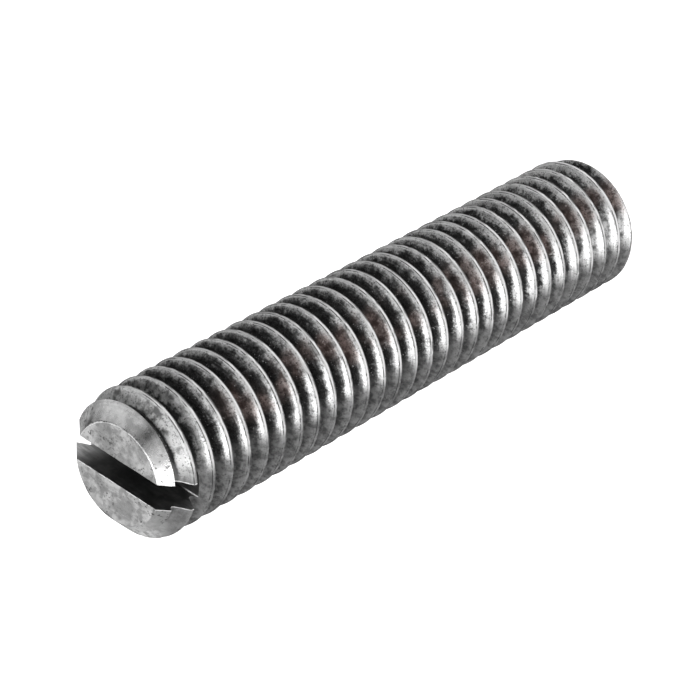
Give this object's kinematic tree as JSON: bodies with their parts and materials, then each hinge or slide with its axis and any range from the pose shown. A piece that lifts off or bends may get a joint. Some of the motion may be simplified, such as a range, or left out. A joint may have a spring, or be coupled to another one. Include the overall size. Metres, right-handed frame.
{
  "type": "grub set screw",
  "caption": "Headless steel set screw with a left-hand thread over its whole length, a chamfer at each end, a driver slot in one end and a flat point at the other.",
  "frame": {"origin": "centre of the flat point's face, which the screw stands on", "axes": "+Z along the screw's axis from the flat point to the slotted face; +X along the driver slot; +Y across the slot"},
  "size_m": [0.006, 0.006, 0.03],
  "materials": {
    "steel": "plain grey steel, satin turned end face and chamfer, smooth rolled thread with brighter crests"
  },
  "bodies": {
    "root": {"set_screw": "steel"}
  },
  "joints": []
}
